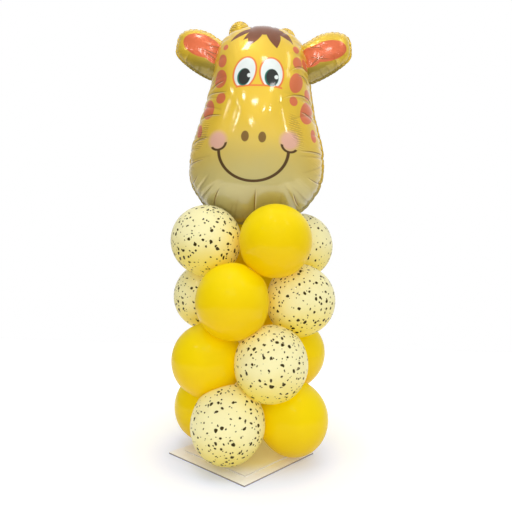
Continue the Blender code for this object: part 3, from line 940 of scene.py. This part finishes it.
def press_on_balloons(context, points):
    """The chin gives way where it rests on the top row's balloons."""
    sizes = column(context).sizes
    row = len(ROW_STRETCHES) - 1
    for place in range(len(SIDES)):
        spot, radius = tied_balloon(sizes, row, place)
        offset = (points - np.array(spot)) / (1, 1, ROW_STRETCHES[row])
        distance = np.linalg.norm(offset, axis=1)
        clear = distance - radius - CHIN_GAP
        wanted = radius + CHIN_GAP + CHIN_SOFTNESS * np.logaddexp(0.0, clear / CHIN_SOFTNESS)
        scale = np.where(clear < 10 * CHIN_SOFTNESS, wanted / distance, 1.0)
        points = np.array(spot) + offset * scale[:, None] * (1, 1, ROW_STRETCHES[row])
    return points


def foil_finish(n, colour, spread, relief=None, gloss=0.13):
    """Printed foil: clear gloss over ink on metal, with broad wrinkles and fine puckers by the weld, painted
    shade in its sharp folds and a faint painted glow.

    `spread` is how far the weld lies from the lobe's middle, and `relief` is the height of its own folds.
    """
    weld = n.kept("weld")
    across, high, side = n.split(n.kept("print", "Vector"))
    plane = n.add("ShaderNodeCombineXYZ", {0: across, 1: high}).outputs[0]
    across, high, _ = n.split(n.vector("SCALE", n.vector("NORMALIZE", plane), Scale=spread))
    inward = n.math("MULTIPLY_ADD", side, 0.5, n.times(weld, 0.25 * spread))
    rays = n.add("ShaderNodeCombineXYZ", {0: across, 1: high, 2: inward}).outputs[0]
    puckers = n.times(n.noise(rays, 75.0), n.step(weld, *PUCKER_SPAN))
    broad = n.noise(n.object_place(), 15.0, 1.0)
    wrinkles = n.bump(puckers, 0.0050, 0.5, n.bump(broad, 0.0060, 0.05))
    if relief is not None:
        wrinkles = n.bump(relief, 0.0009, 1.0, wrinkles)
    # Painted shade where the foil is sharply folded
    colour = n.mix(n.times(n.kept("fold"), 0.45), colour, FOLD_SHADE)
    return n.finish(
        base_color=colour, metallic=0.36, roughness=n.uneven(broad, 0.34, 0.42),
        coat_weight=1.0, coat_roughness=gloss, coat_ior=1.5, normal=wrinkles, specular_ior_level=0.4,
        # The emission is a faint painted glow
        emission_color=colour, emission_strength=0.04,
    )


def printed_eyes(n, flat, colours, colour):
    """Both eyes, cut off below by the bridge of the nose."""
    across, high, _ = n.split(flat)
    above = n.step(n.oval(flat, *NOSE_BRIDGE), *BRIDGE_CUT)
    for line, tone in ((EYE_LINE, colours.eye_line), (0.0, colours.eye_white)):
        for place, (rx, rz), lean in EYES:
            inside = n.disc(flat, place, (rx + line, rz + line), lean)
            colour = n.mix(n.times(inside, above), colour, tone)
    off = n.math("ABSOLUTE", n.math("SUBTRACT", across, NOSE_BRIDGE[0][0]))
    shown = n.times(n.under(off, BRIDGE_REACH), n.step(high, *BRIDGE_FOOT))
    colour = n.mix(n.times(n.stroke(flat, *NOSE_BRIDGE, EYE_LINE), shown), colour, colours.eye_line)
    for (place, radii, lean), glint in zip(PUPILS, GLINTS):
        colour = n.mix(n.disc(flat, place, radii, lean), colour, colours.iris)
        middle = [at + shift for at, shift in zip(place, PUPIL_SHIFT)]
        inside = [radius * share for radius, share in zip(radii, PUPIL_SHARE)]
        colour = n.mix(n.disc(flat, middle, inside, lean), colour, colours.pupil)
        colour = n.mix(n.disc(flat, glint, GLINT_SIZE), colour, colours.eye_white)
    return colour


def printed_face(n, flat, colours, colour):
    """The face on the front sheet, drawn over the coat."""
    for place in BLUSH:
        colour = n.mix(n.step(n.oval(flat, place, BLUSH_SIZE), *BLUSH_FADE), colour, colours.blush)
    colour = n.mix(n.most([n.leaf(flat, *lock) for lock in FRINGE]), colour, colours.fringe)
    colour = printed_eyes(n, flat, colours, colour)
    for place in NOSTRILS:
        colour = n.mix(n.disc(flat, place, NOSTRIL_SIZE), colour, colours.nostril)
    lines = [n.times(n.stroke(flat, *SMILE, SMILE_LINE), n.under(n.split(flat)["Y"], SMILE[0][1]))]
    for place, lean in CHEEKS:
        turned = n.place(flat, (*place, 0.0), lean, (1, 1, 1))
        mark = n.stroke(flat, place, CHEEK_MARK, SMILE_LINE * CHEEK_LINE, lean)
        lines.append(n.times(mark, n.under(n.split(turned)["Y"], CHEEK_TOP)))
    return n.mix(n.most(lines), colour, colours.smile)


def head_print(colours):
    """The giraffe's print: a spotted coat on both sides and the face in front, with painted shade low on the
    chin, and painted shade and highlight lines at the folds and the cheeks' ripples.
    """
    n = Nodes("giraffe_print")
    flat = n.kept("print", "Vector")
    across, high, behind = n.split(flat)
    cloud = n.math("SUBTRACT", n.noise(flat, 14.0), 0.5)
    bow = n.times(n.times(across, across), MUZZLE_BOW)
    level = n.plus(n.plus(high, n.times(cloud, MUZZLE_CLOUD)), bow)
    # Painted shade low on the chin
    chin_shade = [value * CHIN_DARK for value in colours.foil_chin]
    chin = n.mix(n.step(high, *CHIN), colours.foil_chin, chin_shade)
    coat = n.mix(n.step(level, *MUZZLE), colours.foil_yellow, chin)
    coat = n.mix(n.most([n.disc(flat, *spot) for spot in COAT_SPOTS]), coat, colours.spots)
    coat = n.mix(n.disc(flat, *FRINGE_CROWN), coat, colours.fringe)
    colour = n.mix(n.step(behind, *FRONT), coat, printed_face(n, flat, colours, coat))
    # Painted shade and painted highlight lines along the folds, and painted shade in the ripples
    dark, light = n.folds(flat, FOLDS)
    rippled = n.most([n.step(n.oval(flat, *ripple), *RIPPLE_FADE) for ripple in RIPPLES])
    sway = n.math("MULTIPLY_ADD", n.noise(flat, 30.0, 1.0), 0.006, n.times(across, 0.15))
    wave = n.times(n.math("SINE", n.times(n.plus(high, sway), math.tau / RIPPLE_SPACING)), rippled)
    colour = n.mix(n.times(n.step(wave, 0.1, 0.9), RIPPLE_SHADE), colour, FOLD_SHADE)
    colour = n.mix(n.times(light, HIGHLIGHT_LINE), colour, FOLD_HIGHLIGHT)
    colour = n.mix(n.times(dark, SHADE_LINE), colour, FOLD_SHADE)
    relief = n.plus(n.math("SUBTRACT", light, dark), n.times(wave, RIPPLE_RELIEF))
    return foil_finish(n, colour, 0.30, relief, 0.075)


def ear_print(colours, word):
    """An ear's print, yellow with a red inside on the front, darker towards its lower edge as painted shade,
    and with painted shade lines at its folds.
    """
    n = Nodes(f"{word}_ear_print")
    flat = n.kept("print", "Vector")
    _, high, behind = n.split(flat)
    inside = n.most([n.disc(flat, *oval) for oval in INNER_EARS[word]])
    # Painted shade: the yellow darkens towards the ear's lower edge
    yellow = n.mix(n.step(high, *EAR_YELLOW), colours.foil_yellow, colours.ear_shade)
    colour = n.mix(n.times(inside, n.step(behind, *FRONT)), yellow, colours.inner_ear)
    dark, light = n.folds(flat, EAR_FOLDS[word])
    # Painted shade lines along the ear's folds
    colour = n.mix(n.times(dark, EAR_SHADE_LINE), colour, FOLD_SHADE)
    return foil_finish(n, colour, 0.085, n.math("SUBTRACT", light, dark))


def plain_foil(colours, name):
    """Yellow foil without a print."""
    n = Nodes(name)
    cloud = n.noise(n.object_place(), 18.0)
    darker = [value * 0.92 for value in colours.foil_yellow]
    return foil_finish(n, n.mix(n.uneven(cloud), colours.foil_yellow, darker), 0.035)


# Operators


class COLUMN_OT_latex_balloons(Operator):
    """Blow up the sixteen latex balloons in four rows"""

    bl_idname = "balloon_column.latex_balloons"
    bl_label = "Latex balloons"

    def execute(self, context):
        settings = column(context)
        finishes = {"yellow": yellow_latex(settings.colours), "speckled": speckled_latex(settings.colours)}
        for row in range(len(ROW_STRETCHES)):
            for place in range(len(SIDES)):
                colour = COLOURS[place % 2]
                side, _ = balloon_spot(settings.sizes, row, place)
                node = f"{colour}_balloon_row_{row + 1}_{side}"
                mesh = balloon_mesh(row, place, settings.sizes)
                add_piece(mesh, f"latex_{node}", finishes[colour], f"{colour}_latex", node)
        return {"FINISHED"}


class COLUMN_OT_giraffe_head(Operator):
    """Weld and blow up the foil head, with its printed face"""

    bl_idname = "balloon_column.giraffe_head"
    bl_label = "Giraffe head"

    def execute(self, context):
        head = column(context).head
        right = [(x * head.width, (z - HEAD_MIDDLE) * head.height) for x, z in HEAD_OUTLINE]
        left = [(-x, z) for x, z in reversed(right[1:-1])]
        temple = TEMPLE * head.height
        swell = [head.temple_swell * math.exp(-(((z - temple) / TEMPLE_REACH) ** 2)) for _, z in right]
        right = [(x + more, z) for (x, z), more in zip(right[:-1], swell)]
        outline = closed_curve(right + [(0.0, (1 - HEAD_MIDDLE) * head.height)] + left, CURVE_STEPS)
        middle = (0.0, HEAD_MIDDLE * head.height)
        mesh = foil_lobe("head", outline, middle, head.depth, head, 11, FOLDS)
        move_points(mesh, press_on_balloons(context, to_world(context, points_of(mesh))))
        add_piece(mesh, "giraffe_head", head_print(column(context).colours), "printed_foil", HEAD_NODE)
        return {"FINISHED"}


class COLUMN_OT_ears(Operator):
    """Weld and blow up the two ears"""

    bl_idname = "balloon_column.ears"
    bl_label = "Ears"

    def execute(self, context):
        head, colours = column(context).head, column(context).colours
        for word, sign in (("left", -1), ("right", 1)):
            points = [(sign * x * head.ear_length, z * head.ear_length) for x, z in EAR_OUTLINE]
            shift = EAR_SHIFTS[word]
            middle = (sign * EAR_MIDDLE[0] * head.width + shift[0], EAR_MIDDLE[1] * head.height + shift[1])
            outline = closed_curve(points, CURVE_STEPS)
            mesh = foil_lobe("ear", outline, middle, head.ear_depth, head, 21 + sign)
            move_points(mesh, to_world(context, points_of(mesh)))
            add_piece(mesh, f"{word}_ear", ear_print(colours, word), "printed_foil", HEAD_NODE)
        return {"FINISHED"}


class COLUMN_OT_tail(Operator):
    """Roll the foil head's tail, which is tied to the pole"""

    bl_idname = "balloon_column.tail"
    bl_label = "Tail"

    def execute(self, context):
        settings = column(context)
        sizes, head = settings.sizes, settings.head
        _, _, pitch, bottom = layout(sizes)
        start = bottom + (len(ROW_STRETCHES) - 1) * pitch + sizes.pole_above_top_row + POLE_GAP
        end = head_frame(context)[0] + head.tail_in_head
        bm = bmesh.new()
        bmesh.ops.create_cone(
            bm, cap_ends=True, segments=TAIL_POINTS[0], depth=end - start,
            radius1=head.tail_diameter / 2, radius2=head.tail_root_diameter / 2,
        )
        walls = [edge for edge in bm.edges if abs(edge.verts[0].co.z - edge.verts[1].co.z) > 1e-6]
        bmesh.ops.subdivide_edges(bm, edges=walls, cuts=TAIL_POINTS[1])
        bmesh.ops.translate(bm, verts=bm.verts, vec=(0, 0, (start + end) / 2))
        mesh = mesh_of(bm, "tail")
        points = points_of(mesh)
        around = np.arctan2(points[:, 1], points[:, 0])
        high = (points[:, 2] - start) / (end - start)
        (deep, few), (fine, many) = TAIL_PLEATS
        pleats = deep * np.sin(around * few) + fine * np.sin(around * many + 1 + 5 * high)
        depth, place, reach = TAIL_TIE
        tied = depth * np.exp(-(((high - place) / reach) ** 2))
        points[:, :2] *= (1 - TAIL_SLACK + pleats - tied)[:, None]
        move_points(mesh, points)
        piece = add_piece(mesh, "tail", plain_foil(settings.colours, "tail_foil"), "printed_foil", HEAD_NODE)
        piece.data.set_sharp_from_angle(angle=math.radians(50))
        return {"FINISHED"}


class COLUMN_OT_horns(Operator):
    """Weld and blow up the two horns"""

    bl_idname = "balloon_column.horns"
    bl_label = "Horns"

    def execute(self, context):
        head = column(context).head
        finish = plain_foil(column(context).colours, "horn_foil")
        angles = np.linspace(0, math.tau, HORN_STEPS, endpoint=False)
        half = (head.horn_width / 2, head.horn_height / 2)
        outline = np.stack([half[0] * np.cos(angles), half[1] * np.sin(angles)], axis=1)
        for word, (x, z) in HORN_MIDDLES.items():
            mesh = foil_lobe("horn", outline, (x * head.width, z * head.height), head.horn_depth, head, 34)
            move_points(mesh, to_world(context, points_of(mesh)))
            add_piece(mesh, f"{word}_horn", finish, "printed_foil", HEAD_NODE)
        return {"FINISHED"}


def board_finish(colours, name, cut_edge):
    """White board, faintly scuffed, with greyer sides, partly the cut edge's own grey and partly painted
    shade, and a painted glow, strongest near its middle as if lit through the balloons.
    """
    n = Nodes(f"{name}_finish")
    at = n.object_place()
    scuff = n.noise(at, 22.0, 4.0, 0.6)
    dull = [value * share for value, share in zip(colours.board, DULL_BOARD)]
    colour = n.mix(n.step(scuff, 0.45, 0.75), colours.board, dull)
    # Painted light: yellower and glowing near the middle, as if lit through the balloons
    lit = n.step(n.vector("LENGTH", at), *BOARD_LIT)
    colour = n.mix(n.times(lit, 0.80), colour, colours.board_glow)
    level = n.math("ABSOLUTE", n.facing("True Normal"))
    # Greyer sides: partly the cut edge's own grey, partly painted shade
    colour = n.mix(n.step(level, 0.8, 0.6), colour, cut_edge)
    return n.finish(
        base_color=colour, roughness=n.uneven(scuff, 0.42, 0.58), emission_color=colour,
        emission_strength=n.math("MULTIPLY_ADD", lit, 0.12, 0.08),
        normal=n.bump(n.noise(at, 350.0), 0.00008, 0.4),
    )


def board_mesh(side, thickness, turn, middle, hole):
    """A square board with eased edges, with a round hole where the pole stands when `hole` isn't 0."""
    bm = bmesh.new()
    rim = bmesh.ops.create_circle(bm, segments=BOARD_SEGMENTS, radius=1.0)["verts"]
    for vert in rim:
        vert.co *= side / 2 / max(abs(vert.co.x), abs(vert.co.y))
    bmesh.ops.rotate(bm, verts=rim, matrix=Matrix.Rotation(turn, 3, "Z"))
    bmesh.ops.translate(bm, verts=rim, vec=(*middle, 0))
    if hole:
        bmesh.ops.create_circle(bm, segments=BOARD_SEGMENTS, radius=hole)
        bmesh.ops.bridge_loops(bm, edges=bm.edges)
    else:
        bmesh.ops.contextual_create(bm, geom=rim)
    raised = bmesh.ops.extrude_face_region(bm, geom=list(bm.faces))
    top = [item for item in raised["geom"] if isinstance(item, bmesh.types.BMVert)]
    bmesh.ops.translate(bm, verts=top, vec=(0, 0, thickness))
    bmesh.ops.recalc_face_normals(bm, faces=bm.faces)
    corners = [edge for edge in bm.edges if edge.calc_face_angle(0) > BOARD_CORNER]
    bmesh.ops.bevel(
        bm, geom=corners, offset=BOARD_EDGE, segments=3, profile=0.5, affect="EDGES", material=-1,
    )
    return bm


class COLUMN_OT_boards(Operator):
    """Cut and lay the two boards"""

    bl_idname = "balloon_column.boards"
    bl_label = "Boards"

    def execute(self, context):
        settings = column(context)
        sizes, colours = settings.sizes, settings.colours
        thickness, pole_hole = sizes.board_thickness, sizes.pole_diameter / 2 + HOLE_CLEARANCE
        lower = (sizes.lower_board, sizes.lower_board_middle, 0.0, thickness, colours.cut_edge)
        upper = (
            sizes.upper_board, sizes.upper_board_middle, pole_hole, sizes.boards_top, colours.upper_cut_edge,
        )
        for word, (side, middle, hole, top, cut_edge) in (("lower", lower), ("upper", upper)):
            bm = board_mesh(side, thickness, sizes.board_turn, middle, hole)
            bmesh.ops.translate(bm, verts=bm.verts, vec=(0, 0, top - thickness))
            name = f"{word}_board"
            finish = board_finish(colours, name, cut_edge)
            piece = add_piece(mesh_of(bm, name), name, finish, "white_board", f"base_board_{word}")
            piece.data.set_sharp_from_angle(angle=math.radians(30))
        return {"FINISHED"}


class COLUMN_OT_pole(Operator):
    """Finish the pole inside the column"""

    bl_idname = "balloon_column.pole"
    bl_label = "Pole"

    def execute(self, context):
        n = Nodes("pole_finish")
        scuff = n.noise(n.object_place(), 30.0, 3.0, 0.6)
        white = column(context).colours.board
        colour = n.mix(n.step(scuff, 0.4, 0.75), white, [value * 0.85 for value in white])
        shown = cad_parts["centre_pole"]
        shown.data.materials.clear()
        shown.data.materials.append(n.finish(base_color=colour, roughness=n.uneven(scuff, 0.35, 0.5)))
        return {"FINISHED"}


def studio_world():
    """A white room that is dimmer above the camera's side, where the foil mirrors it."""
    n = Nodes("studio", bpy.data.worlds.new("studio"))
    across, deep, high = n.split(n.add("ShaderNodeTexCoord").outputs["Generated"])
    lit = n.plus(n.step(deep, *ROOM_DEPTH, "LINEAR"), n.step(high, *ROOM_HEIGHT, "LINEAR"))
    lit = n.times(lit, n.step(across, *ROOM_ACROSS, "LINEAR"))
    seen = n.add("ShaderNodeLightPath").outputs["Is Camera Ray"]
    background = n.tree.nodes["Background"]
    n.feed(background.inputs["Color"], (1, 1, 1))
    n.feed(background.inputs["Strength"], n.add("ShaderNodeMix", {0: seen, 2: lit, 3: 1.0}).outputs[0])
    return n.owner


def add_floor(scene):
    """A pale floor with painted shade near the base, made bluer to cancel the balloons' yellow light, and a
    glow that is weaker there and grows towards the backdrop.
    """
    bm = bmesh.new()
    bmesh.ops.create_grid(bm, x_segments=8, y_segments=8, size=FLOOR_REACH)
    mesh = mesh_of(bm, "floor")
    if mesh.polygons[0].normal.z < 0:
        mesh.flip_normals()
    floor = bpy.data.objects.new("floor", mesh)
    scene.collection.objects.link(floor)
    # Painted shade near the base: darker and bluer, the blue cancelling the balloons' yellow light
    n = Nodes("floor_finish")
    away = n.vector("LENGTH", n.object_place())
    mesh.materials.append(n.finish(
        base_color=n.mix(n.step(away, *FLOOR_EDGE), FLOOR_SHADE, FLOOR_WHITE),
        roughness=0.9, specular_ior_level=0.1, emission_color=(1.0, 1.0, 1.0),
        emission_strength=n.step(away, *FLOOR_GLOW),
    ))


def add_lamp(scene, name, place, aim, size, watts, mirrored, shape="RECTANGLE"):
    """A flat lamp aimed at a point. The foil shows it only when it is `mirrored`."""
    light = bpy.data.lights.new(name, "AREA")
    light.shape = shape
    light.size, light.size_y = size
    light.energy = watts
    lamp = bpy.data.objects.new(name, light)
    scene.collection.objects.link(lamp)
    lamp.visible_glossy = mirrored
    lamp.location = place
    lamp.rotation_euler = (Vector(aim) - Vector(place)).to_track_quat("-Z", "Y").to_euler()


class COLUMN_OT_stage(Operator):
    """Set up the floor, the lights and the camera"""

    bl_idname = "balloon_column.stage"
    bl_label = "Stage"

    def execute(self, context):
        stage = column(context).stage
        scene = context.scene
        add_floor(scene)
        scene.world = studio_world()
        for lamp in LAMPS:
            add_lamp(scene, *lamp)
        for i, (x, y) in enumerate(DOWNLIGHTS):
            lamp = (f"downlight_{i + 1}", (x, y, DOWNLIGHT_HEIGHT), DOWNLIGHT_AIM, DOWNLIGHT_SIZE)
            add_lamp(scene, *lamp, stage.downlight_power, True, "DISK")

        camera = bpy.data.objects.new("camera", bpy.data.cameras.new("camera"))
        scene.collection.objects.link(camera)
        camera.data.sensor_width = 36.0
        camera.data.lens = stage.lens
        camera.location = (stage.camera_aside, -stage.camera_distance, stage.camera_height)
        camera.rotation_euler = (math.pi / 2 + stage.camera_rise, -stage.camera_roll, 0)
        scene.camera = camera
        scene.view_settings.view_transform = "Standard"
        return {"FINISHED"}


class ColumnSettings(PropertyGroup):
    """Every setting of the column."""

    sizes: PointerProperty(type=ColumnSizes)
    head: PointerProperty(type=HeadSizes)
    colours: PointerProperty(type=ColumnColours)
    stage: PointerProperty(type=StageSettings)


OPERATORS = (
    COLUMN_OT_boards,
    COLUMN_OT_pole,
    COLUMN_OT_latex_balloons,
    COLUMN_OT_giraffe_head,
    COLUMN_OT_ears,
    COLUMN_OT_horns,
    COLUMN_OT_tail,
    COLUMN_OT_stage,
)


class COLUMN_PT_panel(Panel):
    """The column's pieces and settings"""

    bl_label = "Balloon column"
    bl_idname = "COLUMN_PT_panel"
    bl_space_type = "VIEW_3D"
    bl_region_type = "UI"
    bl_category = "Balloon column"

    def draw(self, context):
        settings = column(context)
        for operator in OPERATORS:
            self.layout.operator(operator.bl_idname)
        for group in (settings.sizes, settings.head, settings.colours, settings.stage):
            box = self.layout.box()
            for name in group.__annotations__:
                box.prop(group, name)


CLASSES = (ColumnSizes, HeadSizes, ColumnColours, StageSettings, ColumnSettings, *OPERATORS, COLUMN_PT_panel)


def register():
    for cls in CLASSES:
        bpy.utils.register_class(cls)
    bpy.types.Scene.balloon_column = PointerProperty(type=ColumnSettings)


def unregister():
    del bpy.types.Scene.balloon_column
    for cls in reversed(CLASSES):
        bpy.utils.unregister_class(cls)


def main():
    register()
    bpy.ops.balloon_column.boards()
    bpy.ops.balloon_column.pole()
    bpy.ops.balloon_column.latex_balloons()
    bpy.ops.balloon_column.giraffe_head()
    bpy.ops.balloon_column.ears()
    bpy.ops.balloon_column.horns()
    bpy.ops.balloon_column.tail()
    bpy.ops.balloon_column.stage()


if __name__ == "__main__":
    main()
